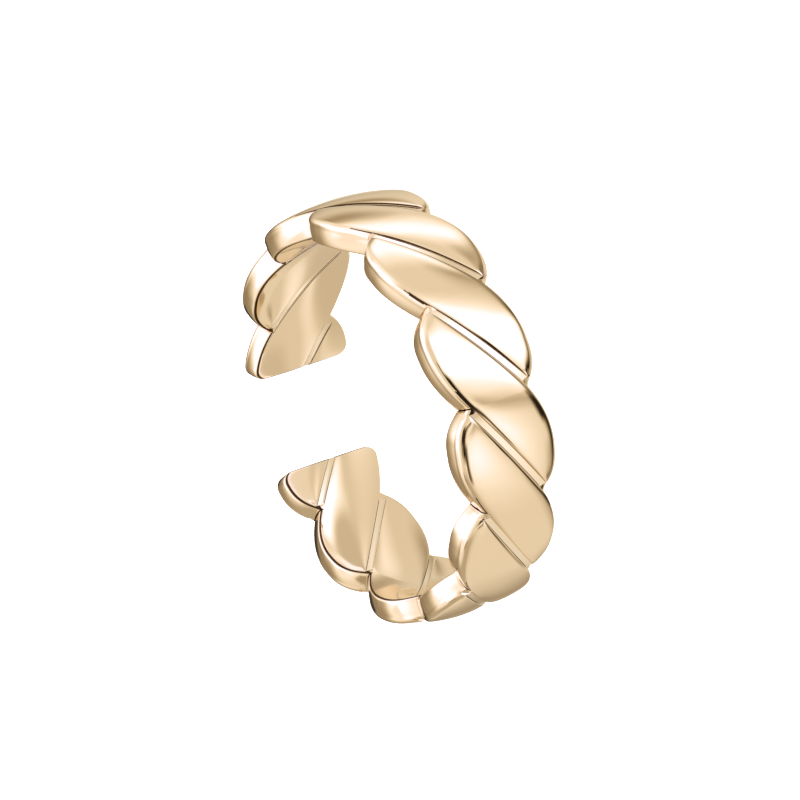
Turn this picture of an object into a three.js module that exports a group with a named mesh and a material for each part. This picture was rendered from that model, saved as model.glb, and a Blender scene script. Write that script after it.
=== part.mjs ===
// An open finger ring, cast in one piece: a scalloped band of slanting leaf-shaped lobes.
// Millimetres and degrees. The ring lies on its side: its axis is +Z, and its far rim rests on z = 0.
// Angles round the ring run clockwise seen from +Z, from +X. The gap faces +Y.
import * as THREE from 'three';

// Driving dimensions.
const PITCH = 30; // turn from one lobe to the next
const BAND_START = -75; // the two end cuts leave a gap of one pitch
const BAND_END = 255;
const RIM_OUT_R = 9.58; // outer edge of the side walls
const GROOVE_OUT_R = 9.8; // floor of the outer grooves, and root of the outer lobes
const LOBE_OUT_R = 10.0; // crest of the outer lobes
const RIM_IN_R = 8.61; // inner edge of the side walls
const GROOVE_IN_R = 8.59; // floor of the inner grooves
const BORE_R = 8.5; // crest of the inner lobes
const FOOT_STEP = { outer: 0.06, inner: 0.03 }; // steep rise where a lobe leaves the groove floor
const STEP_RUN = 0.08; // how far in from its foot the step is complete
const CROWN_POWER = 0.65; // below 1 the lobes are fuller than a parabola
const TAPER_POWER = 0.9; // how fast a lobe sinks as it narrows towards its tips
const GROOVE_FALL = 0.1194; // drop of the slanting groove lines per degree of turn
const GROOVE_LEAD = 15.1; // where the leading line of a lobe crosses mid-height
const GROOVE_TRAIL = 41.6; // where its trailing line does
const LINE_BLEND = 3; // degrees over which a rim ledge runs out into a groove line
const CORNER_R = 0.6; // rounded corners of the end cuts
const TIP_WIDTH = 0.02; // a lobe ends where it is this narrow

// Height of each rim above the middle plane along one lobe, and the ledge between rim and lobe.
// begin, peak, end: degrees from the lobe's start; flat: half the level stretch at the peak.
const RIMS = {
  near: {
    begin: 0.7, beginHeight: 1.83, peak: 13.2, peakHeight: 2.62, end: 30, endHeight: 1.6,
    risePower: 2.6, fallPower: 1.85, flat: 1.5,
  },
  far: {
    begin: 58.9, beginHeight: 1.8, peak: 46.4, peakHeight: 2.54, end: 29.6, endHeight: 1.73,
    risePower: 2.6, fallPower: 1.85, flat: 1.5,
  },
};
const LEDGES = {
  near: { atTip: 0.3, atNotch: 0.22 },
  far: { atTip: 0.3, atNotch: 0.04 },
};

// Mesh fineness.
const COLUMN_STEP = 2.6; // degrees
const LOBE_ROWS = { outer: 6, inner: 4 };
const GROOVE_ROWS = 1;
const LEDGE_ROWS = 1;
const CORNER_COLUMNS = 4;

const FIRST_LOBE = Math.floor(BAND_START / PITCH) - 1;
const LAST_LOBE = Math.ceil(BAND_END / PITCH);
const ANGLE_EPS = 1e-7;
const WELD_STEPS_PER_MM = 1e5;

function degreesToRadians(angle) {
  return (angle * Math.PI) / 180;
}

function clamp01(value) {
  return Math.min(1, Math.max(0, value));
}

function smoothStep(value) {
  const t = clamp01(value);
  return t * t * (3 - 2 * t);
}

function mix(from, to, t) {
  return t === 1 ? to : from + (to - from) * t;
}

// Height of a rim at angle x from a lobe's start: an arch from its begin corner over the peak to
// its end, then the short notch facet up or down to the next lobe's begin corner.
function rimHeight(rim, x) {
  const towardsEnd = Math.sign(rim.end - rim.begin);
  const arch = Math.abs(rim.end - rim.begin);
  const along = (((x - rim.begin) * towardsEnd) % PITCH + PITCH) % PITCH;
  if (along > arch) {
    const t = (along - arch) / (PITCH - arch);
    return mix(rim.endHeight, rim.beginHeight, t);
  }
  const peak = Math.abs(rim.peak - rim.begin);
  const off = Math.max(0, Math.abs(along - peak) - rim.flat);
  if (along < peak) {
    const rise = rim.peakHeight - rim.beginHeight;
    return rim.peakHeight - rise * (off / (peak - rim.flat)) ** rim.risePower;
  }
  const fall = rim.peakHeight - rim.endHeight;
  return rim.peakHeight - fall * (off / (arch - peak - rim.flat)) ** rim.fallPower;
}

// The lobe's foot on one side: a ledge below the rim as far as the rim's end, then the straight
// groove line. The two meet over LINE_BLEND degrees.
function footHeight(side, x) {
  const rim = RIMS[side];
  const ledge = LEDGES[side];
  const sign = side === 'near' ? 1 : -1;
  const lineZero = side === 'near' ? GROOVE_TRAIL : GROOVE_LEAD;
  const line = (angle) => (lineZero - angle) * GROOVE_FALL;
  const beforeNotch = (rim.end - x) * sign;
  if (beforeNotch > 0) {
    const fromTip = Math.abs(x - rim.begin) / Math.abs(rim.end - rim.begin);
    const width = mix(ledge.atTip, ledge.atNotch, smoothStep(fromTip));
    return sign * (rimHeight(rim, x) - width);
  }
  const miss = sign * (rim.endHeight - ledge.atNotch) - line(rim.end);
  return line(x) + miss * Math.exp(beforeNotch / LINE_BLEND);
}

// Where a lobe's two feet meet: its tips, found by halving.
function findTip(outside, inside) {
  let low = outside;
  let high = inside;
  for (let i = 0; i < 40; i += 1) {
    const middle = (low + high) / 2;
    if (footHeight('near', middle) - footHeight('far', middle) > TIP_WIDTH) high = middle;
    else low = middle;
  }
  return high;
}

const NEAR_TIP = findTip(RIMS.near.begin, 10);
const FAR_TIP = findTip(RIMS.far.begin, 50);
const LOBE_WIDTH = footHeight('near', PITCH) - footHeight('far', PITCH);

// Foot of a lobe, closed to a point at both tips.
function closedFoot(side, x) {
  const atTip = Math.abs(x - NEAR_TIP) < ANGLE_EPS || Math.abs(x - FAR_TIP) < ANGLE_EPS;
  if (!atTip) return footHeight(side, x);
  return (footHeight('near', x) + footHeight('far', x)) / 2;
}

// How far a lobe stands off the groove floor, t of the way across it at angle x.
function lobeRelief(face, x, t) {
  const atTip = Math.abs(x - NEAR_TIP) < ANGLE_EPS || Math.abs(x - FAR_TIP) < ANGLE_EPS;
  if (atTip) return 0;
  const width = footHeight('near', x) - footHeight('far', x);
  const full = face === 'outer' ? LOBE_OUT_R - GROOVE_OUT_R : GROOVE_IN_R - BORE_R;
  const step = FOOT_STEP[face];
  const crown = (full - step) * clamp01(width / LOBE_WIDTH) ** TAPER_POWER;
  const dome = crown * Math.max(0, 4 * t * (1 - t)) ** CROWN_POWER;
  const fromFoot = Math.min(t, 1 - t) * width;
  return dome + step * smoothStep(fromFoot / STEP_RUN);
}

// Columns: the same angles for every surface, so that neighbouring patches share their edges.
function columnAngles() {
  const marks = [
    0, RIMS.near.begin, NEAR_TIP, FAR_TIP - PITCH, RIMS.far.begin - PITCH, RIMS.far.end, PITCH,
    RIMS.near.peak - RIMS.near.flat, RIMS.near.peak + RIMS.near.flat,
    RIMS.far.peak - RIMS.far.flat - PITCH, RIMS.far.peak + RIMS.far.flat - PITCH,
  ].sort((a, b) => a - b);
  const cornerTurn = (CORNER_R / GROOVE_OUT_R) * (180 / Math.PI);
  const angles = [];
  for (let lobe = FIRST_LOBE; lobe <= LAST_LOBE; lobe += 1) {
    marks.slice(1).forEach((mark, i) => {
      const steps = Math.max(1, Math.round((mark - marks[i]) / COLUMN_STEP));
      for (let step = 0; step < steps; step += 1) {
        const angle = lobe * PITCH + mix(marks[i], mark, step / steps);
        const isMark = step === 0;
        const inside = angle > BAND_START + cornerTurn && angle < BAND_END - cornerTurn;
        const inCorner = angle > BAND_START + ANGLE_EPS && angle < BAND_END - ANGLE_EPS;
        if (inside || (isMark && inCorner)) angles.push(angle);
      }
    });
  }
  for (let i = 0; i <= CORNER_COLUMNS; i += 1) {
    const back = cornerTurn * (1 - Math.cos((i / CORNER_COLUMNS) * (Math.PI / 2)));
    angles.push(BAND_START + back, BAND_END - back);
  }
  angles.sort((a, b) => a - b);
  return angles.filter((angle, i) => i === 0 || angle - angles[i - 1] > 1e-3);
}

// How much the rounded corners of the end cuts take off each rim at an angle.
function cornerDrop(angle) {
  const toCut = degreesToRadians(Math.min(angle - BAND_START, BAND_END - angle)) * GROOVE_OUT_R;
  const reach = clamp01((CORNER_R - toCut) / CORNER_R);
  return CORNER_R * (1 - Math.sqrt(1 - reach * reach));
}

const ANGLES = columnAngles();
const REST_HEIGHT = RIMS.far.peakHeight;

// Points, welded where they coincide, and triangles that index them.
const points = [];
const pointIndex = new Map();
const triangles = [];

function pointAt(angle, height, radius) {
  const side = height > 0 ? RIMS.near : RIMS.far;
  const keep = 1 - cornerDrop(angle) / rimHeight(side, angle);
  const turn = degreesToRadians(-angle);
  const at = [radius * Math.cos(turn), radius * Math.sin(turn), height * keep + REST_HEIGHT];
  const key = at.map((value) => Math.round(value * WELD_STEPS_PER_MM)).join(' ');
  if (!pointIndex.has(key)) {
    pointIndex.set(key, points.length);
    points.push(at);
  }
  return pointIndex.get(key);
}

function addTriangle(a, b, c) {
  if (a !== b && b !== c && c !== a) triangles.push([a, b, c]);
}

// A patch of columns by rows. Rows run from the near rim to the far rim on an outer surface.
function addPatch(columns, turned) {
  for (let i = 0; i + 1 < columns.length; i += 1) {
    for (let j = 0; j + 1 < columns[i].length; j += 1) {
      const corners = [columns[i][j], columns[i + 1][j], columns[i + 1][j + 1], columns[i][j + 1]];
      if (turned) corners.reverse();
      addTriangle(corners[0], corners[1], corners[2]);
      addTriangle(corners[0], corners[2], corners[3]);
    }
  }
}

function evenRows(count) {
  return Array.from({ length: count + 1 }, (_, i) => i / count);
}

// Rows across a lobe crowd towards its feet, where it is steepest.
function lobeRows(count) {
  return evenRows(count).map((t) => mix(t, (1 - Math.cos(t * Math.PI)) / 2, 0.75));
}

function anglesBetween(from, to) {
  return ANGLES.filter((angle) => angle > from - ANGLE_EPS && angle < to + ANGLE_EPS);
}

function addLobes(face, turned) {
  const outward = face === 'outer' ? 1 : -1;
  const floor = face === 'outer' ? GROOVE_OUT_R : GROOVE_IN_R;
  for (let lobe = FIRST_LOBE; lobe <= LAST_LOBE; lobe += 1) {
    const start = lobe * PITCH;
    const columns = anglesBetween(start + NEAR_TIP, start + FAR_TIP).map((angle) => {
      const x = angle - start;
      return lobeRows(LOBE_ROWS[face]).map((t) => {
        const height = mix(closedFoot('near', x), closedFoot('far', x), t);
        return pointAt(angle, height, floor + outward * lobeRelief(face, x, t));
      });
    });
    addPatch(columns, turned);
  }
}

// The flat channel between each lobe and the next, from the next lobe's near tip to this one's
// far tip. At both ends it closes to the point where the ledge beside it begins.
function addGrooves(face, turned) {
  const floor = face === 'outer' ? GROOVE_OUT_R : GROOVE_IN_R;
  for (let lobe = FIRST_LOBE; lobe <= LAST_LOBE; lobe += 1) {
    const start = lobe * PITCH;
    const next = start + PITCH;
    const across = (angle, above, below) => (
      evenRows(GROOVE_ROWS).map((t) => pointAt(angle, mix(above, below, t), floor))
    );
    const span = anglesBetween(next + NEAR_TIP, start + FAR_TIP);
    if (span.length === 0) continue;
    const columns = span.map((angle) => (
      across(angle, closedFoot('far', angle - next), closedFoot('near', angle - start))
    ));
    const before = ANGLES[ANGLES.indexOf(span[0]) - 1];
    if (before !== undefined) {
      const point = closedFoot('near', before - start);
      columns.unshift(across(before, point, point));
    }
    const after = ANGLES[ANGLES.indexOf(span[span.length - 1]) + 1];
    if (after !== undefined) {
      const point = closedFoot('far', after - next);
      columns.push(across(after, point, point));
    }
    addPatch(columns, turned);
  }
}

// The ledge between a rim and the feet along it. Between two lobes it spans the groove's mouth.
function addLedge(side, face, turned) {
  const floor = face === 'outer' ? GROOVE_OUT_R : GROOVE_IN_R;
  const edge = face === 'outer' ? RIM_OUT_R : RIM_IN_R;
  const sign = side === 'near' ? 1 : -1;
  const columns = ANGLES.map((angle) => {
    const lobe = side === 'near'
      ? Math.floor((angle - NEAR_TIP + ANGLE_EPS) / PITCH)
      : Math.ceil((angle - FAR_TIP - ANGLE_EPS) / PITCH);
    const x = angle - lobe * PITCH;
    const foot = closedFoot(side, x);
    const rim = sign * rimHeight(RIMS[side], angle);
    const rows = evenRows(LEDGE_ROWS).map((t) => pointAt(angle, mix(rim, foot, t), mix(edge, floor, t)));
    return side === 'near' ? rows : rows.reverse();
  });
  addPatch(columns, turned);
}

// The flat side wall at a rim, from the outer edge to the inner one.
function addWall(side) {
  const sign = side === 'near' ? 1 : -1;
  const columns = ANGLES.map((angle) => {
    const rim = sign * rimHeight(RIMS[side], angle);
    return [pointAt(angle, rim, RIM_IN_R), pointAt(angle, rim, RIM_OUT_R)];
  });
  addPatch(columns, side === 'far');
}

// The edges that only one triangle uses, each turned the other way, chained into loops.
function openLoops() {
  const onward = new Map();
  const used = new Set(triangles.flatMap(([a, b, c]) => [`${a} ${b}`, `${b} ${c}`, `${c} ${a}`]));
  used.forEach((edge) => {
    const [a, b] = edge.split(' ').map(Number);
    if (!used.has(`${b} ${a}`)) onward.set(b, a);
  });
  const loops = [];
  while (onward.size > 0) {
    const loop = [];
    let at = onward.keys().next().value;
    while (onward.has(at)) {
      loop.push(at);
      const following = onward.get(at);
      onward.delete(at);
      at = following;
    }
    loops.push(loop);
  }
  return loops;
}

// The two plane end cuts fill the loops that the surfaces leave open.
function addEndCuts() {
  openLoops().forEach((loop) => {
    const outline = loop.map((i) => new THREE.Vector2(Math.hypot(points[i][0], points[i][1]), points[i][2]));
    const clockwise = THREE.ShapeUtils.isClockWise(outline);
    THREE.ShapeUtils.triangulateShape(outline, []).forEach(([a, b, c]) => {
      const corners = [a, b, c].map((i) => outline[i]);
      const keeps = THREE.ShapeUtils.isClockWise(corners) === clockwise;
      addTriangle(loop[a], loop[keeps ? b : c], loop[keeps ? c : b]);
    });
  });
}

function bandGeometry() {
  ['outer', 'inner'].forEach((face) => {
    const turned = face === 'inner';
    addLobes(face, turned);
    addGrooves(face, turned);
    addLedge('near', face, turned);
    addLedge('far', face, turned);
  });
  addWall('near');
  addWall('far');
  addEndCuts();
  const geometry = new THREE.BufferGeometry();
  geometry.setAttribute('position', new THREE.Float32BufferAttribute(points.flat(), 3));
  geometry.setIndex(triangles.flat());
  geometry.computeVertexNormals();
  return geometry;
}

const gold = new THREE.MeshStandardMaterial({ color: 0xe4c79a, roughness: 0.16, metalness: 1 });
const openBand = new THREE.Mesh(bandGeometry(), gold);
openBand.name = 'open_band';

// The origin is the middle of the ring's own box. The gap leaves the axis a little off it in Y.
openBand.geometry.computeBoundingBox();
const middle = openBand.geometry.boundingBox.getCenter(new THREE.Vector3());
openBand.position.set(-middle.x, -middle.y, 0);

const ring = new THREE.Group();
ring.add(openBand);

export default ring;
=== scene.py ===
# %% [markdown]
# An open finger ring: one cast band of slanting leaves, gilded and polished, lying on its side.
# The cast solid arrives as the frame. It has the right size, but its faces are flat and few, and polished
# metal shows every flat. So the same band is drawn again here with many small faces and rounded edges.

# %% Load the cast ring and keep its box
import math
import bpy
import numpy as np
from mathutils import Matrix, Vector


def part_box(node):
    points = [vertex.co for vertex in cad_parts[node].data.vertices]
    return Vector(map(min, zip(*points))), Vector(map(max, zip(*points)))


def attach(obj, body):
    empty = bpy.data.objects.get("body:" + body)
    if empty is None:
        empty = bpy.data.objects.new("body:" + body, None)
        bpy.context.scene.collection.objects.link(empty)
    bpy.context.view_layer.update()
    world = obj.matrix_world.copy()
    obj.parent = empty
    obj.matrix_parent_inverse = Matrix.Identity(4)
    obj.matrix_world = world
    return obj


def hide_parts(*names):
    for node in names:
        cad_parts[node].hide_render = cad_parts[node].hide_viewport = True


MM = 0.001
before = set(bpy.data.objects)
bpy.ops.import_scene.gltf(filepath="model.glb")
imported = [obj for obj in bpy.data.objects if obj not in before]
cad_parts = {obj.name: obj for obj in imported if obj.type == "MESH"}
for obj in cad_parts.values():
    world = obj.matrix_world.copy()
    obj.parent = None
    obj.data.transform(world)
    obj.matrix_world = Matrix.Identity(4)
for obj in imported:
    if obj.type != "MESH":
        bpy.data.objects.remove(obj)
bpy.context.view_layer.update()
ring_low, ring_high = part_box("open_band")
print("cast ring, mm:", [round(v / MM, 3) for v in (ring_high - ring_low)])

# %% [markdown]
# Heights are measured from the middle of the band, halfway between its two scalloped rims. The near rim is
# the upper one as the ring lies, and the far rim is the one it lies on. The gap between the two ends faces
# +Y, so the axis is one outside radius in from the opposite face of the box. Angles run round the band in
# degrees, clockwise from +X as seen from above. The crests keep a hair inside the cast ring's, so the
# polished band never leaves its box.

# %% Sizes of the band, in millimetres and degrees
PITCH = 30.0
BAND_START = -75.0
BAND_END = 255.0
OUTSIDE_RADIUS = 10.0
CREST_OUT = 9.995
GROOVE_OUT = 9.785
WALL_OUT = 9.45
RIM_IN = 8.595
GROOVE_IN = 8.575
CREST_IN = 8.502
FAR_PEAK = 2.54
NEAR_PEAK = 2.62
SIGNS = {"near": 1, "far": -1}
axis_x = (ring_low.x + ring_high.x) / 2 / MM
axis_y = ring_low.y / MM + OUTSIDE_RADIUS
middle_z = ring_low.z / MM + FAR_PEAK
print("axis at", round(axis_x, 3), round(axis_y, 3), "middle height", round(middle_z, 3))

# %% [markdown]
# Seen from the side, each rim of the real ring is a row of leaf tips: a quick rise, a rounded peak and a
# long fall to a small notch where the next leaf starts. Each arch could be a spline with handles.
# Two powers of the distance from the peak say the same with a few named sizes, and never wobble.

# %% The scalloped rims
RIMS = {
    "near": {
        "begin": 1.6, "begin_height": 1.88,
        "peak": 13.2, "peak_height": NEAR_PEAK,
        "end": 30.0, "end_height": 1.6,
    },
    "far": {
        "begin": 58.9, "begin_height": 1.80,
        "peak": 46.4, "peak_height": FAR_PEAK,
        "end": 29.6, "end_height": 1.73,
    },
}
RISE_POWER = 2.6
FALL_POWER = 1.85
PEAK_FLAT = 0.6


def rim_height(side, angle):
    """Height of a rim above the middle of the band, on its own side."""
    rim = RIMS[side]
    way = np.sign(rim["end"] - rim["begin"])
    arch = abs(rim["end"] - rim["begin"])
    peak = abs(rim["peak"] - rim["begin"])
    along = np.mod((np.asarray(angle, float) - rim["begin"]) * way, PITCH)
    off = np.maximum(0, np.abs(along - peak) - PEAK_FLAT)
    rise = (off / (peak - PEAK_FLAT)) ** RISE_POWER
    fall = (off / (arch - peak - PEAK_FLAT)) ** FALL_POWER
    up = rim["peak_height"] - (rim["peak_height"] - rim["begin_height"]) * rise
    down = rim["peak_height"] - (rim["peak_height"] - rim["end_height"]) * fall
    share = (along - arch) / (PITCH - arch)
    notch = rim["end_height"] + (rim["begin_height"] - rim["end_height"]) * share
    return np.where(along > arch, notch, np.where(along < peak, up, down))


for side_name, side_rim in RIMS.items():
    lowest = float(rim_height(side_name, side_rim["end"]))
    highest = float(rim_height(side_name, side_rim["peak"]))
    print(side_name, "rim from", round(lowest, 2), "to", round(highest, 2), "mm off the middle")

# %% [markdown]
# Each leaf stands on a foot line. Along the rim the foot keeps a narrow bevel's width inside the edge.
# Where the leaf meets its neighbour, the foot turns into a straight slanting line, and the space between
# two neighbours' lines is the groove. A short blend joins the two, as a file would leave it.

# %% The foot line of a leaf
BEVEL_WIDTHS = {
    "near": {"at_tip": 0.30, "at_notch": 0.22},
    "far": {"at_tip": 0.30, "at_notch": 0.04},
}
GROOVE_FALL = 0.1194
GROOVE_LEAD = 15.1
GROOVE_TRAIL = 41.6
LINE_BLEND = 3.0
TINY = 1e-9
HAIR = 1e-7


def ease(share):
    """A smooth step from 0 to 1."""
    share = np.clip(share, 0, 1)
    return share * share * (3 - 2 * share)


def groove_line(side, angle):
    """The straight slanting line at the near or far foot of a leaf."""
    zero = GROOVE_TRAIL if side == "near" else GROOVE_LEAD
    return (zero - angle) * GROOVE_FALL


def foot_height(side, angle):
    """Height of a leaf's foot. The angle is measured from the leaf's own start."""
    angle = np.asarray(angle, float)
    rim = RIMS[side]
    bevel = BEVEL_WIDTHS[side]
    sign = SIGNS[side]
    before = (rim["end"] - angle) * sign
    share = np.abs(angle - rim["begin"]) / abs(rim["end"] - rim["begin"])
    width = bevel["at_tip"] + (bevel["at_notch"] - bevel["at_tip"]) * ease(share)
    inside = np.where(before > TINY, angle, rim["end"] - sign * HAIR)
    beside_rim = sign * (rim_height(side, inside) - width)
    miss = sign * (rim["end_height"] - bevel["at_notch"]) - groove_line(side, rim["end"])
    beside_leaf = groove_line(side, angle) + miss * np.exp(np.minimum(before, 0) / LINE_BLEND)
    return np.where(before > 0, beside_rim, beside_leaf)


groove_width = groove_line("far", -PITCH) - groove_line("near", 0)
print("grooves", round(groove_width, 2), "mm wide, measured along the axis")

# %% [markdown]
# A leaf ends where its near and far feet meet in a point. The crossing of the two curves has no short
# formula. It is closed in on by halving, since the leaf is open on one side of it and shut on the other.

# %% Where a leaf's two feet meet
TIP_WIDTH = 0.02
HALVINGS = 50
OPEN_AT = {"near": 10.0, "far": 50.0}


def find_tip(side):
    """The angle at which the leaf is TIP_WIDTH wide, at the tip on this side."""
    outside = RIMS[side]["begin"]
    inside = OPEN_AT[side]
    for _ in range(HALVINGS):
        middle = (outside + inside) / 2
        if foot_height("near", middle) - foot_height("far", middle) > TIP_WIDTH:
            inside = middle
        else:
            outside = middle
    return inside


near_tip = find_tip("near")
far_tip = find_tip("far")
full_width = float(foot_height("near", PITCH) - foot_height("far", PITCH))
print("a leaf runs from", round(near_tip, 2), "to", round(far_tip, 2), "degrees")
print("its full width is", round(full_width, 2), "mm")

# %% [markdown]
# Halving leaves a gap of two hundredths at the tip. Both feet are set to its middle there, so the sheets
# on both sides of the tip meet in one point and can be welded.

# %% Bring both feet to one point at the tips
SAME_ANGLE = 1e-6


def at_tip(angle):
    """True where a leaf closes to a point."""
    return (np.abs(angle - near_tip) < SAME_ANGLE) | (np.abs(angle - far_tip) < SAME_ANGLE)


def closed_foot(side, angle):
    """The foot line, with both feet brought to one point at the tips."""
    near = foot_height("near", angle)
    far = foot_height("far", angle)
    return np.where(at_tip(angle), (near + far) / 2, near if side == "near" else far)


print("the near tip is at height", round(float(closed_foot("near", near_tip)), 3))

# %% [markdown]
# Across its width a leaf is a pillow: a long low crown, which carries the broad reflections. Along a groove
# the leaf first rises in a tiny steep step, which gives the fine line there, and towards the open rim that
# step fades out. The far edge is rolled over a little, as the polishing wheel leaves it. A bevel modifier
# could round the leaf too, but then its height would not follow the leaf's width.

# %% The pillow of a leaf
FACES = {
    "out": {"floor": GROOVE_OUT, "crest": CREST_OUT, "step": 0.075, "run": 0.004, "power": 0.8, "way": 1},
    "in": {"floor": GROOVE_IN, "crest": CREST_IN, "step": 0.03, "run": 0.003, "power": 1.0, "way": -1},
}
TAPER_POWER = 0.9
FULL_STEP_WIDTH = 0.4
STEP_FADE = 14.0
ROLL_REACH = 0.18
ROLL_DEPTH = 0.35


def leaf_width(angle):
    return np.maximum(foot_height("near", angle) - foot_height("far", angle), 0)


def step_share(side, angle):
    """1 where a foot faces the next leaf across a groove, 0 where it faces the open rim."""
    return ease((angle - RIMS[side]["end"]) * SIGNS[side] / STEP_FADE + 0.5)


def relief(face, angle, across):
    """How far a leaf stands off its groove floor. Across is 0 at the near foot and 1 at the far foot."""
    size = FACES[face]
    width = leaf_width(angle)
    narrow = np.clip(width / FULL_STEP_WIDTH, 0, 1)
    near_step = size["step"] * step_share("near", angle) * narrow
    far_step = size["step"] * step_share("far", angle) * narrow
    base = near_step + (far_step - near_step) * ease(across)
    full = abs(size["crest"] - size["floor"]) - (near_step + far_step) / 2
    crown = full * np.clip(width / full_width, 0, 1) ** TAPER_POWER
    dome = crown * np.maximum(0, 4 * across * (1 - across)) ** size["power"]
    from_foot = np.minimum(across, 1 - across) * width
    from_far = (1 - across) * width
    roll = ROLL_DEPTH * base * np.clip(1 - from_far / ROLL_REACH, 0, 1) ** 2
    risen = np.clip(from_foot / size["run"], 0, 1)
    return np.where(at_tip(angle), 0, dome + (base - roll) * risen)


for face_name in FACES:
    print("crown on the", face_name + "side", round(float(relief(face_name, PITCH, 0.5)), 3), "mm high")

# %% [markdown]
# The band is divided round its length by columns at common angles. So the outside, the inside and both
# edges of the band share their points and close into one skin. Each corner and notch gets a column of its
# own, and the columns crowd towards the two cut ends, where the corners are rounded.

# %% Columns round the band
COLUMN_SPACING = 0.6
LEAST_SPACING = 2e-3
CLEARANCE = 0.05
CORNER = 0.6
CUT_ROUNDING = 0.07
CREVICE_HALF = 0.2
END_COLUMNS = {
    "corner": {"reach": CORNER, "count": 10},
    "cut": {"reach": CUT_ROUNDING, "count": 5},
}
LEAF_NUMBERS = range(-5, 10)


def degrees_of(length):
    return math.degrees(length / GROOVE_OUT)


def column_angles():
    marks = [0, near_tip, far_tip - PITCH, PITCH]
    marks += [CREVICE_HALF, PITCH - CREVICE_HALF]
    marks += [RIMS["near"]["begin"], RIMS["far"]["begin"] - PITCH, RIMS["far"]["end"]]
    marks.sort()
    clear_corner = degrees_of(CORNER) + CLEARANCE
    clear_cut = degrees_of(CUT_ROUNDING) + CLEARANCE
    angles = []
    for leaf in LEAF_NUMBERS:
        for first, last in zip(marks[:-1], marks[1:]):
            count = max(1, round((last - first) / COLUMN_SPACING))
            for i in range(count):
                angle = PITCH * leaf + first + (last - first) * i / count
                plain = BAND_START + clear_corner < angle < BAND_END - clear_cut
                marked = i == 0 and BAND_START < angle < BAND_END
                if plain or marked:
                    angles.append(angle)
    for row in END_COLUMNS.values():
        for i in range(row["count"] + 1):
            inset = degrees_of(row["reach"]) * (1 - math.cos(i / row["count"] * math.pi / 2))
            angles.append(BAND_START + inset)
            angles.append(BAND_END - inset)
    angles = np.array(sorted(angles))
    return angles[np.r_[True, np.diff(angles) > LEAST_SPACING]]


columns = column_angles()
print(len(columns), "columns")

# %% [markdown]
# Each cut end of the real ring is a flat plane with rounded corners and softened edges. The rounding could
# be a bevel on the finished mesh. Here every point is drawn in as it is placed, by a quarter circle of its
# distance from the cut, so all sheets round off together and still share their points.

# %% Rounding at the two cut ends


def quarter_round(distance, reach):
    share = np.clip((reach - distance) / reach, 0, 1)
    return reach * (1 - np.sqrt(1 - share * share))


def to_ring(angle, height, radius):
    """A point of the band, with the rim's corners and the cut's edges drawn in near the two ends."""
    distance = np.radians(np.minimum(angle - BAND_START, BAND_END - angle)) * GROOVE_OUT
    corner = quarter_round(distance, CORNER)
    cut = quarter_round(distance, CUT_ROUNDING)
    rim = np.where(height > 0, rim_height("near", angle), rim_height("far", angle))
    height = height * (1 - (corner + cut) / rim)
    middle = (GROOVE_OUT + CREST_IN) / 2
    radius = np.where(radius > middle, radius - cut, radius + cut)
    turn = -np.radians(angle)
    x = axis_x + radius * np.cos(turn)
    y = axis_y + radius * np.sin(turn)
    return np.stack(np.broadcast_arrays(x, y, middle_z + height), -1)


cut_points = [to_ring(angle, 0, GROOVE_IN) for angle in (BAND_START, BAND_END)]
print("gap between the ends", round(float(abs(cut_points[1][0] - cut_points[0][0])), 2), "mm at the hole")

# %% [markdown]
# The skin is laid in sheets: a grid of points for each leaf, each groove and each edge of the band.
# Points that fall on the same place are welded afterwards, so neighbouring sheets share their border.
# Each sheet remembers which finish its faces get. Faces deep in a tight corner or fold get the corner finish,
# a near-black colour that is painted shade and dark reflection in those places.

# %% A sheet of skin
# corner is not a tone of the gold: it is near-black painted shade for tight corners and folds
FINISHES = ["leaf", "groove", "wall", "corner"]
sheets = []


def add_sheet(points, finish, turned, dark):
    """Dark marks the faces that get painted shade in a tight corner, one value for each face of the grid."""
    rows, across = points.shape[:2]
    finishes = np.full((rows - 1, across - 1), FINISHES.index(finish))
    finishes[dark] = FINISHES.index("corner")
    sheets.append({"points": points, "finishes": finishes, "turned": turned})


def between(values):
    """The values halfway between neighbours."""
    return (values[1:] + values[:-1]) / 2


print("finishes:", FINISHES)

# %% [markdown]
# A leaf's sheet has one narrow row at each foot for the steep step, and twenty rows over the crown. They
# crowd towards the feet, where the metal turns fastest. An even grid would need twice as many. The row at
# the near foot lies in the groove's corner and gets painted shade there, and so does the fold over a cut
# end's edge.

# %% The sheet of a leaf
CROWN_ROWS = 20
WIDEST_RUN = 0.3
EVEN_SHARE = 0.3
CUT_FOLD = 0.045
CREASE_RUN = 6.0


def rows_across(face, width):
    """Shares across a leaf: the foot, the top of the steep step, and rows over the crown."""
    reach = np.minimum(FACES[face]["run"], width * WIDEST_RUN) / np.maximum(width, TINY)
    even = np.arange(CROWN_ROWS + 1) / CROWN_ROWS
    crowded = EVEN_SHARE * even + (1 - EVEN_SHARE) * (1 - np.cos(even * math.pi)) / 2
    return np.concatenate([0 * reach, reach + (1 - 2 * reach) * crowded, 1 + 0 * reach], 1)


def cut_fold(angles):
    """True for the strips of a sheet that fold over the edge of a cut end."""
    middle = between(angles)
    return np.radians(np.minimum(middle - BAND_START, BAND_END - middle)) * GROOVE_OUT < CUT_FOLD


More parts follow.
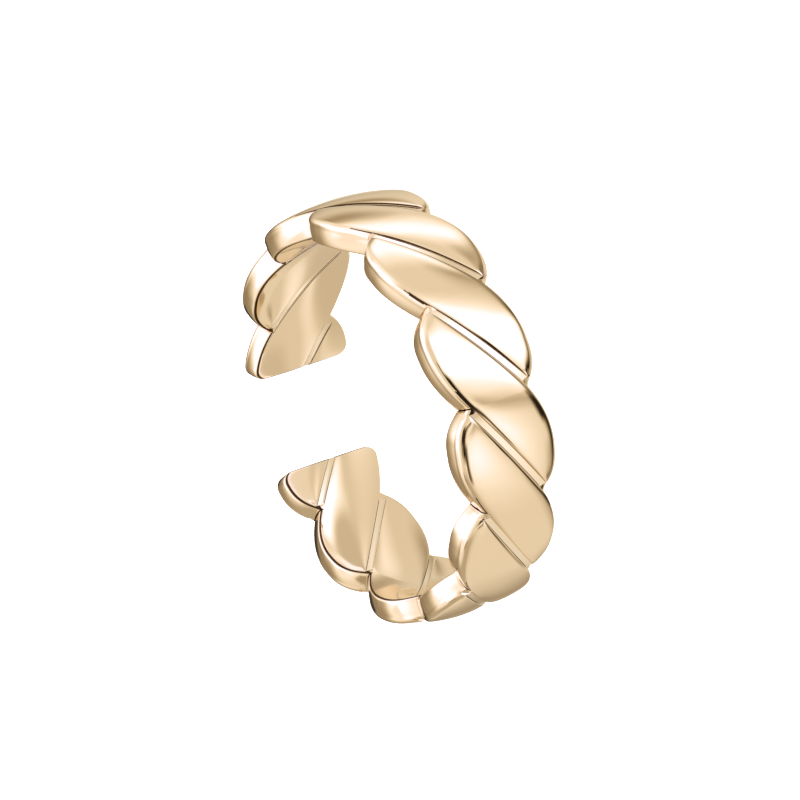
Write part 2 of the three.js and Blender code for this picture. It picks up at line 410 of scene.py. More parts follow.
def add_leaf(face, leaf, turned):
    first = PITCH * leaf + near_tip - HAIR
    last = PITCH * leaf + far_tip + HAIR
    angles = columns[(columns > first) & (columns < last)]
    if len(angles) < 2:
        return
    own = (angles - PITCH * leaf)[:, None]
    near = closed_foot("near", own)
    far = closed_foot("far", own)
    across = rows_across(face, leaf_width(own))
    height = np.where(across == 1, far, near + (far - near) * across)
    radius = FACES[face]["floor"] + FACES[face]["way"] * relief(face, own, across)
    faces_groove = between(angles) - PITCH * leaf > RIMS["near"]["end"] - CREASE_RUN
    dark = np.zeros((len(angles) - 1, across.shape[1] - 1), bool)
    # painted shade: the near-foot row beside a groove and the fold over a cut end get the near-black corner
    # finish
    dark[faces_groove, 0] = True
    dark[cut_fold(angles)] = True
    add_sheet(to_ring(angles[:, None], height, radius), "leaf", turned, dark)


print(rows_across("out", np.array([[full_width]])).shape[1], "rows across a leaf")

# %% [markdown]
# A groove is a flat strip between two leaves. Along its upper edge a thin strip gets painted shade, the
# near-black corner finish, and a hair-thin crevice is cut along its lower edge, at the foot of the leaf's
# step.
# Both could be drawn by a mask, but as real strips of the mesh they stay sharp from every side. Each line has
# a width of its own and a largest share of the groove, so that it thins out where the groove closes.

# %% The lines along a groove
GROOVE_ROWS = 3
GROOVE_LINES = {
    "painted_shade": {"width": 0.03, "most": 0.2},
    "crevice_mouth": {"width": 0.055, "most": 0.4},
    "crevice_bottom": {"width": 0.008, "most": 0.1},
}
CREVICE_DEPTH = {"out": 0.04, "in": 0.02}


def line_share(name, width):
    line = GROOVE_LINES[name]
    return np.minimum(line["width"], width * line["most"]) / width


def groove_rows(width):
    """Shares across a groove, from its upper edge at 0 to its lower edge at 1."""
    painted_shade = line_share("painted_shade", width)
    mouth = line_share("crevice_mouth", width)
    bottom = line_share("crevice_bottom", width)
    even = painted_shade + (1 - mouth - painted_shade) * np.arange(GROOVE_ROWS + 1)[None] / GROOVE_ROWS
    return np.concatenate([0 * painted_shade, even, 1 - bottom, 1 + 0 * bottom], 1)


shares = groove_rows(np.array([[groove_width]]))[0]
print("rows across a groove, mm:", [round(float(share * groove_width), 3) for share in shares])

# %% [markdown]
# Each groove starts and ends in a point, one column past its first and last full rows. There the whole row
# is gathered in the one place, and the welding turns those faces into triangles. A leaf and a groove take
# turns as the sheets are laid, first on the outside of the band and then, turned over, on the inside.

# %% The sheet of a groove, and all leaves and grooves laid


def groove_point(side, angle, leaf, floor, count):
    """One place where a groove closes to a point, repeated for each row across."""
    height = closed_foot(side, np.array([angle - PITCH * leaf]))
    point = to_ring(np.array([angle]), height, np.array([floor]))
    return np.repeat(point[:, None], count, 1)


def add_groove(face, leaf, turned):
    first = PITCH * (leaf + 1) + near_tip - HAIR
    last = PITCH * leaf + far_tip + HAIR
    index = np.where((columns > first) & (columns < last))[0]
    if len(index) < 2:
        return
    floor = FACES[face]["floor"]
    angles = columns[index]
    upper = closed_foot("far", angles - PITCH * (leaf + 1))[:, None]
    lower = closed_foot("near", angles - PITCH * leaf)[:, None]
    width = np.abs(upper - lower)
    share = groove_rows(width)
    height = np.where(share == 1, lower, upper + (lower - upper) * share)
    depth = CREVICE_DEPTH[face] * np.clip(width[:, 0] / GROOVE_LINES["crevice_mouth"]["width"] - 1, 0, 1)
    radius = np.full_like(height, floor)
    radius[:, -2] -= FACES[face]["way"] * depth
    grid = to_ring(angles[:, None], height, radius)
    if index[0] > 0:
        start = groove_point("near", columns[index[0] - 1], leaf, floor, grid.shape[1])
        grid = np.concatenate([start, grid])
    if index[-1] < len(columns) - 1:
        end = groove_point("far", columns[index[-1] + 1], leaf + 1, floor, grid.shape[1])
        grid = np.concatenate([grid, end])
    dark = np.zeros((grid.shape[0] - 1, grid.shape[1] - 1), bool)
    # painted shade: the strip along the groove's upper edge gets the near-black corner finish
    dark[:, 0] = True
    add_sheet(grid, "groove", turned, dark)


for face_name in FACES:
    for leaf_number in LEAF_NUMBERS:
        add_leaf(face_name, leaf_number, face_name == "in")
        add_groove(face_name, leaf_number, face_name == "in")
print(len(sheets), "sheets for the leaves and grooves, outside and inside")

# %% [markdown]
# The two edges of the band are scalloped walls. Outside, a soft shoulder leads from a leaf's foot over to
# the wall, and inside, a small round leads down to the inner foot. A modifier's bevel would also catch the
# grooves, so the wall's outline is rounded first and then swept round the band: foot, rim, rim, foot.

# %% Rounding the outline of a wall
LONGEST_RUN = 0.45
INNER_ROUNDING = 0.12
INNER_ARC_STEPS = 5


def rounded_corner(before, corner, after, radius, count):
    """Points of an arc that replaces the corner between two straight runs."""
    to_before = before - corner
    to_after = after - corner
    length_before = np.linalg.norm(to_before, axis=-1, keepdims=True)
    length_after = np.linalg.norm(to_after, axis=-1, keepdims=True)
    to_before = to_before / length_before
    to_after = to_after / length_after
    half = np.arccos(np.clip((to_before * to_after).sum(-1, keepdims=True), -1, 1)) / 2
    run = np.minimum(radius / np.tan(half), np.minimum(length_before, length_after) * LONGEST_RUN)
    arc = run * np.tan(half)
    middle = to_before + to_after
    middle = middle / np.linalg.norm(middle, axis=-1, keepdims=True)
    centre = corner + middle * (arc / np.sin(half))
    first = corner + to_before * run - centre
    last = corner + to_after * run - centre
    sweep = np.arccos(np.clip((first * last).sum(-1, keepdims=True) / (arc * arc), -1, 1))
    points = []
    for i in range(count + 1):
        share = i / count
        weight_first = np.sin((1 - share) * sweep) / np.sin(sweep)
        weight_last = np.sin(share * sweep) / np.sin(sweep)
        points.append(centre + first * weight_first + last * weight_last)
    return np.stack(points, -2)


def straight_run(first, last, count):
    share = (np.arange(count) / count)[None, :, None]
    return first[:, None] + (last - first)[:, None] * share


square = np.array([[[0.0, 1.0]], [[0.0, 0.0]], [[1.0, 0.0]]])
arc_points = rounded_corner(*square, INNER_ROUNDING, INNER_ARC_STEPS)
print("a square corner becomes", arc_points.shape[1], "points")

# %% [markdown]
# The shoulder is a part of an ellipse that starts a little way round, so it leaves the leaf's foot at an
# angle and draws a clear edge. The flat of the wall and the small inner round follow it.

# %% The outline of a wall, from foot to foot
SHOULDER_ROWS = 9
SHOULDER_START = math.radians(20)
WALL_ROWS = 8
INNER_ROWS = 2


def wall_outline(foot, rim):
    """Radius and height of each row, for every column."""
    flat = 0 * columns
    quarter = SHOULDER_START + (math.pi / 2 - SHOULDER_START) * np.arange(SHOULDER_ROWS) / SHOULDER_ROWS
    inward = np.cos(quarter) / math.cos(SHOULDER_START)
    outward = (np.sin(quarter) - math.sin(SHOULDER_START)) / (1 - math.sin(SHOULDER_START))
    shoulder = np.stack([
        WALL_OUT + (GROOVE_OUT - WALL_OUT) * inward[None] + flat[:, None],
        foot[:, None] + (rim - foot)[:, None] * outward[None],
    ], -1)
    wall_out = np.stack([flat + WALL_OUT, rim], -1)
    wall_in = np.stack([flat + RIM_IN, rim], -1)
    foot_in = np.stack([flat + GROOVE_IN, foot], -1)
    inner = rounded_corner(wall_out, wall_in, foot_in, INNER_ROUNDING, INNER_ARC_STEPS)
    return np.concatenate([
        shoulder,
        straight_run(wall_out, inner[:, 0], WALL_ROWS),
        inner[:, :-1],
        straight_run(inner[:, -1], foot_in, INNER_ROWS),
        foot_in[:, None],
    ], 1)


plain_outline = wall_outline(0 * columns + 1.0, 0 * columns + 2.0)
print(plain_outline.shape[1], "rows across a wall")

# %% [markdown]
# Where one leaf's end meets the next leaf's start, the wall has a tight cut, like a saw's touch. The cuts
# on the ring's right are left plain, and from the one at the front onwards they get painted shade. So does
# the near wall's inner edge, and the last stretch under each leaf's foot. Under one leaf that painted crease
# shade is wider. All of it is marked face by face, so no mask has to follow the shape.

# %% Cuts of a wall, and the painted shade in its creases
NOTCH_DEPTH = {"near": 0.12, "far": 0.05}
# painted shade starts at this notch, and under leaf WIDE_CREASE_LEAF the painted crease shade is wider
FIRST_SHADED_NOTCH = 3
INNER_CREASE_ROWS = 3
WIDE_CREASE_LEAF = 1
CREASE_LINES = [
    {"row": 0, "from": CREASE_RUN, "to": 0.0, "leaves": "all"},
    {"row": 1, "from": 7.0, "to": 0.4, "leaves": "wide"},
    {"row": 2, "from": 5.0, "to": 0.8, "leaves": "wide"},
]


def notch_crevice(side, angle):
    """Depth of the tight cut where a leaf's wall meets the next leaf's start."""
    off = np.mod(angle - RIMS[side]["end"] + PITCH / 2, PITCH) - PITCH / 2
    return NOTCH_DEPTH[side] * np.clip(1 - np.abs(off) / CREVICE_HALF, 0, 1)


def wall_creases(side, leaf, rows):
    """True for the faces of a wall's sheet that get painted shade, in a cut, a fold or a crease."""
    dark = np.zeros((len(columns) - 1, rows - 1), bool)
    in_cut = notch_crevice(side, between(columns)) > 0
    # painted shade: notches from the front onwards, cut-end folds, the near wall's inner edge and the creases
    # under the leaf feet
    shaded = columns[1:] > PITCH * FIRST_SHADED_NOTCH - CREVICE_HALF * 2
    dark[in_cut & shaded] = True
    dark[cut_fold(columns)] = True
    if side == "near":
        dark[:, -INNER_CREASE_ROWS - 1:-1] = True
        before_end = RIMS["near"]["end"] - (between(columns) - PITCH * between(leaf))
        wide = leaf[1:] == WIDE_CREASE_LEAF
        for line in CREASE_LINES:
            there = (before_end < line["from"]) & (before_end > line["to"])
            if line["leaves"] == "wide":
                there = there & wide
            dark[there, line["row"]] = True
    return dark


for side_name in SIGNS:
    deepest = float(notch_crevice(side_name, RIMS[side_name]["end"]))
    print("deepest cut in the", side_name, "wall:", deepest, "mm")

# %% [markdown]
# The wall isn't dead flat either: towards both edges it falls off by a few hundredths, as a polishing
# wheel leaves it. That turns its reflection into a soft band instead of one flat tone.

# %% The walls along both rims
WALL_BULGE = 0.045


def bulge_drop(radius):
    """How far the wall falls off towards its two edges."""
    half_wall = (WALL_OUT - RIM_IN) / 2
    from_middle = np.clip(np.abs(radius - RIM_IN - half_wall) / half_wall, 0, 1)
    past_outer = (radius - WALL_OUT) / (GROOVE_OUT - WALL_OUT)
    past_inner = (RIM_IN - radius) / (RIM_IN - GROOVE_IN)
    past_rim = np.maximum(past_outer, past_inner)
    return WALL_BULGE * from_middle ** 2 * (1 - np.clip(past_rim, 0, 1))


def add_wall(side):
    if side == "near":
        leaf = np.floor((columns - near_tip + HAIR) / PITCH)
    else:
        leaf = np.ceil((columns - far_tip - HAIR) / PITCH)
    foot = closed_foot(side, columns - PITCH * leaf)
    rim = SIGNS[side] * (rim_height(side, columns) - notch_crevice(side, columns))
    path = wall_outline(foot, rim)
    radius = path[..., 0]
    height = path[..., 1] - SIGNS[side] * bulge_drop(radius)
    dark = wall_creases(side, leaf, path.shape[1])
    add_sheet(to_ring(columns[:, None], height, radius), "wall", side == "near", dark)
    return int(dark.sum())


for side_name in SIGNS:
    dark_faces = add_wall(side_name)
    print(side_name, "wall with", dark_faces, "dark faces")

# %% [markdown]
# The sheets only touch so far. Points that round to the same hundred-thousandth of a millimetre become one.
# Blender's merge by distance would do it too, but a distance wide enough to be sure may pull thin steps
# together. A face whose corners have merged keeps those that are left, or goes if fewer than three are.

# %% Weld the sheets into one skin
WELD_STEP = 1e-5


def welded_skin():
    points = []
    faces = []
    finishes = []
    start = 0
    for sheet in sheets:
        grid = sheet["points"]
        rows, across = grid.shape[:2]
        points.append(grid.reshape(-1, 3))
        i, j = np.meshgrid(np.arange(rows - 1), np.arange(across - 1), indexing="ij")
        corner = (start + i * across + j).ravel()
        quads = np.stack([corner, corner + across, corner + across + 1, corner + 1], 1)
        faces.append(quads[:, ::-1] if sheet["turned"] else quads)
        finishes.append(sheet["finishes"].ravel())
        start += rows * across
    points = np.concatenate(points)
    faces = np.concatenate(faces)
    finishes = np.concatenate(finishes)
    places = np.round(points / WELD_STEP).astype(np.int64)
    _, kept, merged = np.unique(places, axis=0, return_index=True, return_inverse=True)
    return points[kept], merged.ravel()[faces], finishes


def without_doubles(face):
    """A face with repeated corners dropped, or nothing if fewer than three are left."""
    corners = []
    for corner in face:
        if not corners or corners[-1] != corner:
            corners.append(int(corner))
    if len(corners) > 1 and corners[0] == corners[-1]:
        corners.pop()
    return tuple(corners) if len(set(corners)) >= 3 else None


skin_points, raw_faces, raw_finishes = welded_skin()
skin_faces = []
skin_finishes = []
for raw_face, raw_finish in zip(raw_faces, raw_finishes):
    tidy_face = without_doubles(raw_face)
    if tidy_face:
        skin_faces.append(tidy_face)
        skin_finishes.append(int(raw_finish))
print(len(skin_points), "points,", len(skin_faces), "faces")

# %% [markdown]
# What is still open are the two cut ends. Their borders are found as the edges that only one face uses, and
# each border is filled with one flat face. The skin is then closed all round, as a solid casting's is.

# %% Close the two cut ends


def open_loops(faces):
    """The borders that only one face uses, as rings of points that run the other way round."""
    edges = set()
    for face in faces:
        for first, last in zip(face, face[1:] + face[:1]):
            edges.add((first, last))
    following = {last: first for first, last in edges if (last, first) not in edges}
    loops = []
    while following:
        point = next(iter(following))
        loop = []
        while point in following:
            loop.append(point)
            point = following.pop(point)
        loops.append(tuple(loop))
    return loops


end_cuts = open_loops(skin_faces)
skin_faces += end_cuts
skin_finishes += [FINISHES.index("wall")] * len(end_cuts)
print("cut ends with", [len(loop) for loop in end_cuts], "corners")

# %% [markdown]
# One mesh object holds the whole band, since the real ring is one casting. It is smooth-shaded, and only
# the folds that are creases on the metal are marked sharp.

# %% The band as one object
CREASE_ANGLE = 32.0
band_mesh = bpy.data.meshes.new("open_band_polished")
band_mesh.from_pydata([tuple(point * MM) for point in skin_points], [], skin_faces)
band_mesh.polygons.foreach_set("use_smooth", [True] * len(skin_faces))
band_mesh.polygons.foreach_set("material_index", skin_finishes)
band_mesh.set_sharp_from_angle(angle=math.radians(CREASE_ANGLE))
band_mesh.update()
band = bpy.data.objects.new("open_band_polished", band_mesh)
bpy.context.scene.collection.objects.link(band)
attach(band, "root")
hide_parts("open_band")
print("band with", len(band_mesh.polygons), "faces")

# %% [markdown]
# The finish is a pale champagne gilding over silver. A real polish is never quite even: the wheel leaves
# hair-fine lines along the band, and the tone and the shine drift a little. Two noises give both: one is
# stretched round the band into lines, and one is left cloudy. They sit in one node group, so each finish on
# the ring can use them with its own strength.

# %% Helpers for shader nodes


def new_group(name, inputs, outputs):
    group = bpy.data.node_groups.new(name, "ShaderNodeTree")
    for socket_name, kind, value in inputs:
        socket = group.interface.new_socket(name=socket_name, in_out="INPUT", socket_type=kind)
        socket.default_value = value
    for socket_name, kind in outputs:
        group.interface.new_socket(name=socket_name, in_out="OUTPUT", socket_type=kind)
    return group


def math_node(nodes, links, operation, first, second=0.0):
    """A math node fed by sockets or numbers. A node that takes one value ignores the second."""
    node = nodes.new("ShaderNodeMath")
    node.operation = operation
    for socket, value in zip(node.inputs, (first, second)):
        if isinstance(value, (int, float)):
            socket.default_value = value
        else:
            links.new(value, socket)
    return node.outputs[0]


print("helpers:", new_group.__name__, "and", math_node.__name__)

# %% [markdown]
# The group's inputs are the scales of the two noises and the ends of the roughness range. Its outputs are
# only values that change over the surface: the lines for a bump, the drift for the tone, and the roughness.

# %% The polish group: wheel lines and a slow drift
LINE_SQUEEZE = (0.12, 0.12, 1.0)
LINE_DETAIL = 3.0
DRIFT_DETAIL = 2.0
DRIFT_LOW = 0.3
DRIFT_HIGH = 0.7
polish = new_group(
    "wheel_polish",
    [
        ("Line Scale", "NodeSocketFloat", 2600.0),
        ("Drift Scale", "NodeSocketFloat", 220.0),
        ("Roughness Low", "NodeSocketFloat", 0.08),
        ("Roughness High", "NodeSocketFloat", 0.14),
    ],
    [("Lines", "NodeSocketFloat"), ("Drift", "NodeSocketFloat"), ("Roughness", "NodeSocketFloat")],
)
nodes = polish.nodes
links = polish.links
group_in = nodes.new("NodeGroupInput")
group_out = nodes.new("NodeGroupOutput")
place = nodes.new("ShaderNodeTexCoord")
squeeze = nodes.new("ShaderNodeMapping")
squeeze.inputs["Scale"].default_value = LINE_SQUEEZE
links.new(place.outputs["Object"], squeeze.inputs["Vector"])
lines = nodes.new("ShaderNodeTexNoise")
lines.inputs["Detail"].default_value = LINE_DETAIL
links.new(squeeze.outputs["Vector"], lines.inputs["Vector"])
links.new(group_in.outputs["Line Scale"], lines.inputs["Scale"])
drift = nodes.new("ShaderNodeTexNoise")
drift.inputs["Detail"].default_value = DRIFT_DETAIL
links.new(place.outputs["Object"], drift.inputs["Vector"])
links.new(group_in.outputs["Drift Scale"], drift.inputs["Scale"])
rough = nodes.new("ShaderNodeMapRange")
links.new(drift.outputs["Fac"], rough.inputs["Value"])
rough.inputs["From Min"].default_value = DRIFT_LOW
rough.inputs["From Max"].default_value = DRIFT_HIGH
links.new(group_in.outputs["Roughness Low"], rough.inputs["To Min"])
links.new(group_in.outputs["Roughness High"], rough.inputs["To Max"])
links.new(lines.outputs["Fac"], group_out.inputs["Lines"])
links.new(drift.outputs["Fac"], group_out.inputs["Drift"])
links.new(rough.outputs["Result"], group_out.inputs["Roughness"])
print("polish group with", len(nodes), "nodes")

# %% [markdown]
# Leaves, grooves and walls are the same gold, but the wheel reaches them differently: the leaves are the
# glossiest, and the grooves keep a paler, softer shine. The corner finish is painted shade, a near-black
# colour nearly without shine. Each finish mixes a pale and a deep tone by the drift, and carries the wheel
# lines as a bump of two or three thousandths of a millimetre. Line heights are in metres, as the bump node
# needs them.

# %% Three finishes of the same gold, and the painted shade of the corners
GOLDS = {
    "leaf": {
        "pale": (0.93, 0.80, 0.62), "deep": (0.89, 0.76, 0.57),
        "low": 0.05, "high": 0.08, "line_height": 0.000002,
    },
    "groove": {
        "pale": (0.95, 0.85, 0.70), "deep": (0.91, 0.80, 0.63),
        "low": 0.07, "high": 0.12, "line_height": 0.000003,
    },
    "wall": {
        "pale": (0.93, 0.80, 0.62), "deep": (0.88, 0.74, 0.55),
        "low": 0.06, "high": 0.12, "line_height": 0.000003,
    },
    # corner: near-black painted shade and dark reflection for tight corners and folds, not a tone of the gold
    "corner": {
        "pale": (0.10, 0.06, 0.03), "deep": (0.04, 0.025, 0.012),
        "low": 0.35, "high": 0.5, "line_height": 0.000003,
    },
}
LINE_STRENGTH = 0.25


def gold_finish(name, tone):
    material = bpy.data.materials.new("gold_" + name)
    material.use_nodes = True
    nodes = material.node_tree.nodes
    links = material.node_tree.links
    shader = nodes["Principled BSDF"]
    shader.inputs["Metallic"].default_value = 1.0
    group = nodes.new("ShaderNodeGroup")
    group.node_tree = polish
    group.inputs["Roughness Low"].default_value = tone["low"]
    group.inputs["Roughness High"].default_value = tone["high"]
    colour = nodes.new("ShaderNodeMix")
    colour.data_type = "RGBA"
    colour.inputs["A"].default_value = (*tone["deep"], 1)
    colour.inputs["B"].default_value = (*tone["pale"], 1)
    links.new(group.outputs["Drift"], colour.inputs["Factor"])
    links.new(colour.outputs["Result"], shader.inputs["Base Color"])
    links.new(group.outputs["Roughness"], shader.inputs["Roughness"])
    bump = nodes.new("ShaderNodeBump")
    bump.inputs["Strength"].default_value = LINE_STRENGTH
    bump.inputs["Distance"].default_value = tone["line_height"]
    links.new(group.outputs["Lines"], bump.inputs["Height"])
    links.new(bump.outputs["Normal"], shader.inputs["Normal"])
    return material


for finish_name in FINISHES:
    band_mesh.materials.append(gold_finish(finish_name, GOLDS[finish_name]))
print("finishes:", [material.name for material in band_mesh.materials])

# %% [markdown]
# The ring lies on a pale light table, as for a jewellery catalogue. The table glows evenly, so the ring
# throws almost no shadow on it. The ring doesn't mirror the table itself: what it mirrors below the horizon
# are the low cards of the studio, as if the table were glass over them. A plane is enough, and its size and
# its drop below the ring are in metres.

# %% The light table
TABLE_SIZE = 3.0
TABLE_DROP = 0.00002
TABLE_TONE = (0.9, 0.9, 0.9, 1)
TABLE_ROUGHNESS = 0.6
TABLE_GLOW = 1.1
table_mesh = bpy.data.meshes.new("light_table")
half = TABLE_SIZE / 2
table_corners = [(-half, -half, 0), (half, -half, 0), (half, half, 0), (-half, half, 0)]
table_mesh.from_pydata(table_corners, [], [(0, 1, 2, 3)])
light_table = bpy.data.objects.new("light_table", table_mesh)
bpy.context.scene.collection.objects.link(light_table)
light_table.location.z = ring_low.z - TABLE_DROP
light_table.visible_glossy = False
table_material = bpy.data.materials.new("glowing_acrylic")
table_material.use_nodes = True
acrylic = table_material.node_tree.nodes["Principled BSDF"]
acrylic.inputs["Base Color"].default_value = TABLE_TONE
acrylic.inputs["Roughness"].default_value = TABLE_ROUGHNESS
acrylic.inputs["Emission Color"].default_value = (1, 1, 1, 1)
acrylic.inputs["Emission Strength"].default_value = TABLE_GLOW
table_mesh.materials.append(table_material)
print("light table", TABLE_SIZE, "m wide")

# %% [markdown]
# Polished metal shows its surroundings, so the soft cards that stand round the ring make the look. They
# could be many lamps. A world drawn from a list of cards is softer, and quicker to work out.
# Azimuth 0 is in front of the ring and 90 on its right, and height is above the horizon, all in degrees.
# A card fills its half width and half height. Its sides fade over its edge, its top and bottom over its
# fade. A later card covers an earlier one. Level 1 is a warm white.

# %% The soft cards of the studio
ROOM_LEVEL = 0.85
ALL_ROUND = 180
CARD_COLUMNS = ("name", "azimuth", "half_width", "edge", "height", "half_height", "fade", "level")
CARD_ROWS = [
    ("floor", -15, 78, 30, -90, 32, 6, 0.62),
    ("right_low", 98, 40, 20, -52, 7, 10, 0.38),
    ("left_low", -85, 40, 20, -50, 6, 12, 0.45),
    ("floor_edge", -15, 78, 30, -55, 6, 8, 0.04),
    ("ceiling", 0, ALL_ROUND, 1, 90, 34, 44, 1.35),
    ("left_ceiling", -125, 35, 30, 72, 14, 20, 1.03),
    ("left_wall", -95, 45, 30, 12, 17, 16, 0.55),
    ("left_corner", -72, 14, 12, 38, 9, 8, 0.45),
    ("left_wing", -150, 20, 20, 12, 18, 30, 0.53),
    ("back_shade", 180, 26, 44, 4, 32, 40, 0.34),
    ("left_shade", -151, 16, 56, -30, 13, 13, 0.38),
    ("back_low", 178, 8, 16, -33, 9, 6, 0.86),
    ("back_flag", -175, 18, 26, -9, 12, 12, 0.06),
    ("left_card", -30, 21, 48, -14, 18, 44, 1.28),
    ("lamp_stand", -9, 2, 15, -29, 21, 10, 0.45),
    ("front_edge", -13, 12, 10, -53, 6.5, 5, 0.02),
    ("window", 23, 21, 24, -25, 28, 14, 1.45),
    ("right_shade", 80, 14, 30, -38, 8, 14, 0.50),
    ("right_card", 101, 14, 27, -24, 18, 13, 1.34),
    ("right_stand", 129, 10, 20, -14, 12, 14, 0.45),
    ("camera_cloth", -12, 18, 10, 11, 12, 6, 0.02),
    ("cloth_top", 4, 14, 8, 19, 6, 5, 0.02),
    ("cloth_tail", -34, 16, 10, -1, 3.5, 5, 0.08),
    ("right_ceiling", 106, 52, 26, 60, 42, 60, 1.42),
    ("right_dip", 106, 8, 14, 24, 8, 12, 0.92),
    ("front_ceiling", -18, 55, 30, 78, 10, 30, 1.35),
    ("back_card", 160, 14, 18, 69, 13, 20, 1.45),
]
CARDS = [dict(zip(CARD_COLUMNS, row)) for row in CARD_ROWS]
print(len(CARDS), "cards, levels", min(c["level"] for c in CARDS), "to", max(c["level"] for c in CARDS))

# %% [markdown]
# The world is asked for its colour in every direction that the metal mirrors. From that direction two
# angles are worked out, the azimuth and the height above the horizon. All cards are placed by them.

# %% The directions of the room
world = bpy.data.worlds.new("card_room")
world.use_nodes = True
bpy.context.scene.world = world
nodes = world.node_tree.nodes
links = world.node_tree.links
direction = nodes.new("ShaderNodeTexCoord")
split = nodes.new("ShaderNodeSeparateXYZ")
links.new(direction.outputs["Generated"], split.inputs["Vector"])
minus_y = math_node(nodes, links, "MULTIPLY", split.outputs["Y"], -1.0)
azimuth = math_node(nodes, links, "ARCTAN2", split.outputs["X"], minus_y)
azimuth = math_node(nodes, links, "DEGREES", azimuth)
elevation = math_node(nodes, links, "ARCSINE", split.outputs["Z"])
elevation = math_node(nodes, links, "DEGREES", elevation)
print("room with", len(nodes), "nodes before its cards")

# %% [markdown]
# A card is a soft mask: it mixes its own level over the level below it. The azimuth's difference is wrapped
# to half a turn either way, so a card behind the ring isn't cut where the angles start again.

# %% Lay each card over the light that is there


def soft_mask(nodes, links, distance, reach, fade):
    """1 inside the reach, 0 outside, with a smooth edge of width fade between."""
    mask = nodes.new("ShaderNodeMapRange")
    mask.interpolation_type = "SMOOTHSTEP"
    mask.inputs["From Min"].default_value = reach + fade / 2
    mask.inputs["From Max"].default_value = reach - fade / 2
    links.new(distance, mask.inputs["Value"])
    return mask.outputs["Result"]


def lay_over(nodes, links, below, mask, level):
    mix = nodes.new("ShaderNodeMix")
    links.new(mask, mix.inputs["Factor"])
    if isinstance(below, float):
        mix.inputs["A"].default_value = below
    else:
        links.new(below, mix.inputs["A"])
    mix.inputs["B"].default_value = level
    return mix.outputs["Result"]


def lay_card(below, card):
    off_height = math_node(nodes, links, "SUBTRACT", elevation, card["height"])
    off_height = math_node(nodes, links, "ABSOLUTE", off_height)
    mask = soft_mask(nodes, links, off_height, card["half_height"], card["fade"])
    if card["half_width"] < ALL_ROUND:
        off_azimuth = math_node(nodes, links, "SUBTRACT", azimuth, card["azimuth"])
        off_azimuth = math_node(nodes, links, "WRAP", off_azimuth, ALL_ROUND)
        off_azimuth.node.inputs[2].default_value = -ALL_ROUND
        off_azimuth = math_node(nodes, links, "ABSOLUTE", off_azimuth)
        across = soft_mask(nodes, links, off_azimuth, card["half_width"], card["edge"])
        mask = math_node(nodes, links, "MULTIPLY", mask, across)
    return lay_over(nodes, links, below, mask, card["level"])


room_level = ROOM_LEVEL
for card in CARDS:
    room_level = lay_card(room_level, card)
print(len(CARDS), "cards hung with", len(nodes), "nodes")

# %% [markdown]
# A card's level says only how bright it is. On gold a dim card looks browner than a bright one, and a lamp
# looks nearly white, so one colour ramp turns every level into light: dim levels are warm, bright ones cool.
# Its colours are stored as shares of the brightest level, because a ramp runs from 0 to 1.

# %% From level to light
TINTS = [
    {"level": 0.00, "red": 0.00, "green": 0.00, "blue": 0.00},
    {"level": 0.44, "red": 0.42, "green": 0.33, "blue": 0.215},
    {"level": 0.80, "red": 0.80, "green": 0.70, "blue": 0.55},
    {"level": 0.87, "red": 0.91, "green": 0.81, "blue": 0.67},
    {"level": 1.10, "red": 1.17, "green": 1.06, "blue": 1.00},
    {"level": 1.45, "red": 1.60, "green": 1.46, "blue": 2.00},
    {"level": 3.20, "red": 3.20, "green": 3.15, "blue": 3.60},
]
BRIGHTEST = TINTS[-1]["level"]


def tinted(nodes, links, level):
    tints = nodes.new("ShaderNodeValToRGB")
    stops = tints.color_ramp.elements
    for tint in TINTS[1:-1]:
        stops.new(tint["level"] / BRIGHTEST)
    for stop, tint in zip(stops, TINTS):
        stop.color = (tint["red"] / BRIGHTEST, tint["green"] / BRIGHTEST, tint["blue"] / BRIGHTEST, 1)
    links.new(math_node(nodes, links, "DIVIDE", level, BRIGHTEST), tints.inputs["Fac"])
    return tints.outputs["Color"]


background = nodes["Background"]
links.new(tinted(nodes, links, room_level), background.inputs["Color"])
background.inputs["Strength"].default_value = BRIGHTEST
print(len(TINTS), "tints from dark to", BRIGHTEST)

# %% [markdown]
# The inside of the ring looks down through its own hole. Without help it would show the bright cards
# in front, so a small warm card lies under the clear table, just as wide as the hole. It glows, but the
# camera doesn't see it and it throws no shadow.

# %% The shape of the card under the hole
HOLE_CARD_RADIUS = 8.4
HOLE_CARD_DROP = 0.3
HOLE_CARD_SIDES = 64
hole_points = []
for side_number in range(HOLE_CARD_SIDES):
    way_round = 2 * math.pi * side_number / HOLE_CARD_SIDES
    across = HOLE_CARD_RADIUS * MM * math.cos(way_round)
    along = HOLE_CARD_RADIUS * MM * math.sin(way_round)
    hole_points.append((across, along, 0))
hole_mesh = bpy.data.meshes.new("hole_card")
hole_mesh.from_pydata(hole_points, [], [tuple(range(HOLE_CARD_SIDES))])
hole_card = bpy.data.objects.new("hole_card", hole_mesh)
bpy.context.scene.collection.objects.link(hole_card)
hole_card.location = (axis_x * MM, axis_y * MM, ring_low.z - HOLE_CARD_DROP * MM)
hole_card.visible_camera = False
hole_card.visible_shadow = False
print("card of", HOLE_CARD_RADIUS * 2, "mm under the hole")

# %% [markdown]
# Soft round spots on the card place the lights and shades on the inner leaves, like bits of paper laid
# under a glass. Each is a mask by its distance from a point, laid over the others as the room's cards are.
# Right, back, radius and fade are in millimetres.

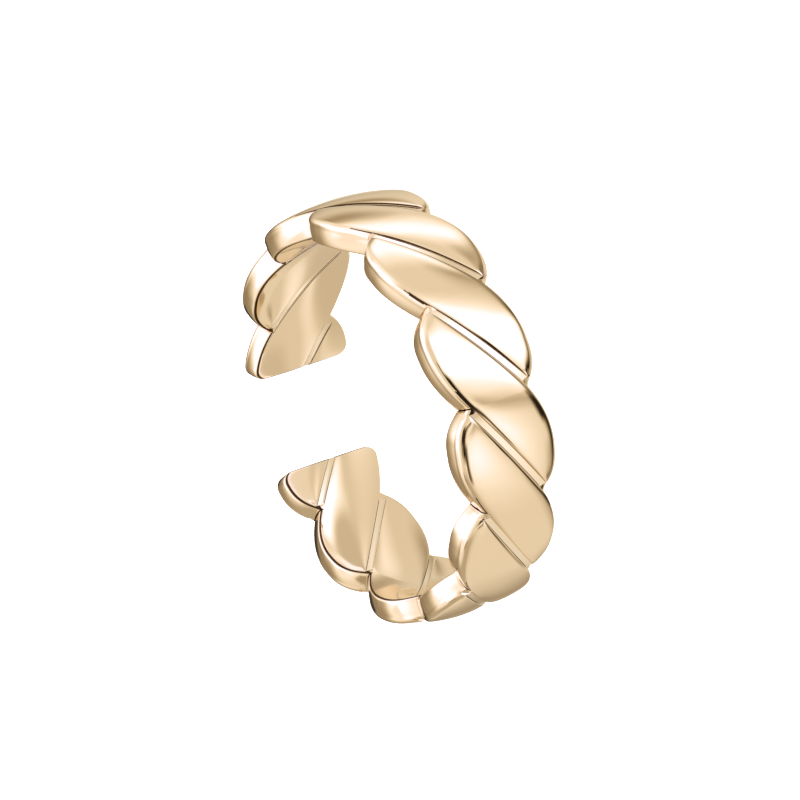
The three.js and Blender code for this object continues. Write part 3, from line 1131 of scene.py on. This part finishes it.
# %% The spots on the card under the hole
HOLE_CARD_LEVEL = 0.81
HOLE_SPOTS = [
    {"right": 4.4, "back": 0.0, "radius": 4.3, "fade": 3.0, "level": 1.50},
    {"right": -1.2, "back": -3.7, "radius": 6.0, "fade": 2.0, "level": 0.70},
    {"right": -0.2, "back": 6.9, "radius": 1.4, "fade": 3.0, "level": 1.06},
    {"right": 3.8, "back": 5.1, "radius": 2.9, "fade": 2.1, "level": 0.68},
    {"right": -5.5, "back": 5.1, "radius": 0.3, "fade": 2.3, "level": 0.30},
    {"right": 0.4, "back": -5.2, "radius": 5.9, "fade": 2.5, "level": 0.88},
    {"right": -8.6, "back": -1.2, "radius": 1.0, "fade": 0.9, "level": 1.40},
]
card_material = bpy.data.materials.new("warm_card")
card_material.use_nodes = True
nodes = card_material.node_tree.nodes
links = card_material.node_tree.links
card_shader = nodes["Principled BSDF"]
card_shader.inputs["Base Color"].default_value = (0, 0, 0, 1)
card_shader.inputs["Specular IOR Level"].default_value = 0.0
card_place = nodes.new("ShaderNodeTexCoord")
hole_level = HOLE_CARD_LEVEL
for spot in HOLE_SPOTS:
    away = nodes.new("ShaderNodeVectorMath")
    away.operation = "DISTANCE"
    links.new(card_place.outputs["Object"], away.inputs[0])
    away.inputs[1].default_value = (spot["right"] * MM, spot["back"] * MM, 0)
    mask = soft_mask(nodes, links, away.outputs["Value"], spot["radius"] * MM, spot["fade"] * MM)
    hole_level = lay_over(nodes, links, hole_level, mask, spot["level"])
links.new(tinted(nodes, links, hole_level), card_shader.inputs["Emission Color"])
card_shader.inputs["Emission Strength"].default_value = BRIGHTEST
hole_mesh.materials.append(card_material)
print(len(HOLE_SPOTS), "spots on it")

# %% [markdown]
# The camera looks down on the lying ring from the front with a very long lens, as a catalogue's would, so
# the ring keeps its true proportions. It is turned about its own line of sight, so that the ring stands up
# in the frame with its gap at the left. Sizes are in millimetres and degrees, and the nearest and farthest
# distances that it sees are in metres.

# %% The camera
CAMERA_AZIMUTH = 6.628
CAMERA_ELEVATION = 26.842
CAMERA_ROLL = -108.542
CAMERA_DISTANCE = 525.63
RING_RIGHT = -0.096
RING_UP = -0.321
LENS = 515.43
NEAREST_SEEN = 0.01
FARTHEST_SEEN = 100
turn = math.radians(CAMERA_AZIMUTH)
tilt = math.radians(CAMERA_ELEVATION)
roll = math.radians(CAMERA_ROLL)
back = Vector((math.sin(turn) * math.cos(tilt), -math.cos(turn) * math.cos(tilt), math.sin(tilt)))
level_right = Vector((math.cos(turn), math.sin(turn), 0))
level_up = back.cross(level_right)
right = level_right * math.cos(roll) + level_up * math.sin(roll)
up = back.cross(right)
ring_centre = Vector((axis_x, axis_y, middle_z))
eye = ring_centre + back * CAMERA_DISTANCE - right * RING_RIGHT - up * RING_UP
camera_data = bpy.data.cameras.new("camera")
camera_data.lens = LENS
camera_data.clip_start = NEAREST_SEEN
camera_data.clip_end = FARTHEST_SEEN
camera = bpy.data.objects.new("camera", camera_data)
bpy.context.scene.collection.objects.link(camera)
camera.matrix_world = Matrix((
    (right.x, up.x, back.x, eye.x * MM),
    (right.y, up.y, back.y, eye.y * MM),
    (right.z, up.z, back.z, eye.z * MM),
    (0, 0, 0, 1),
))
bpy.context.scene.camera = camera
bpy.context.scene.view_settings.view_transform = "Standard"
print("camera", round(eye.z), "mm above the table, lens", LENS)

# %% [markdown]
# Last, the scene is brought up to date. The polished band has to stay inside the cast ring's box, as that box
# is the part's true size.

# %% Bring the scene up to date
bpy.context.view_layer.update()
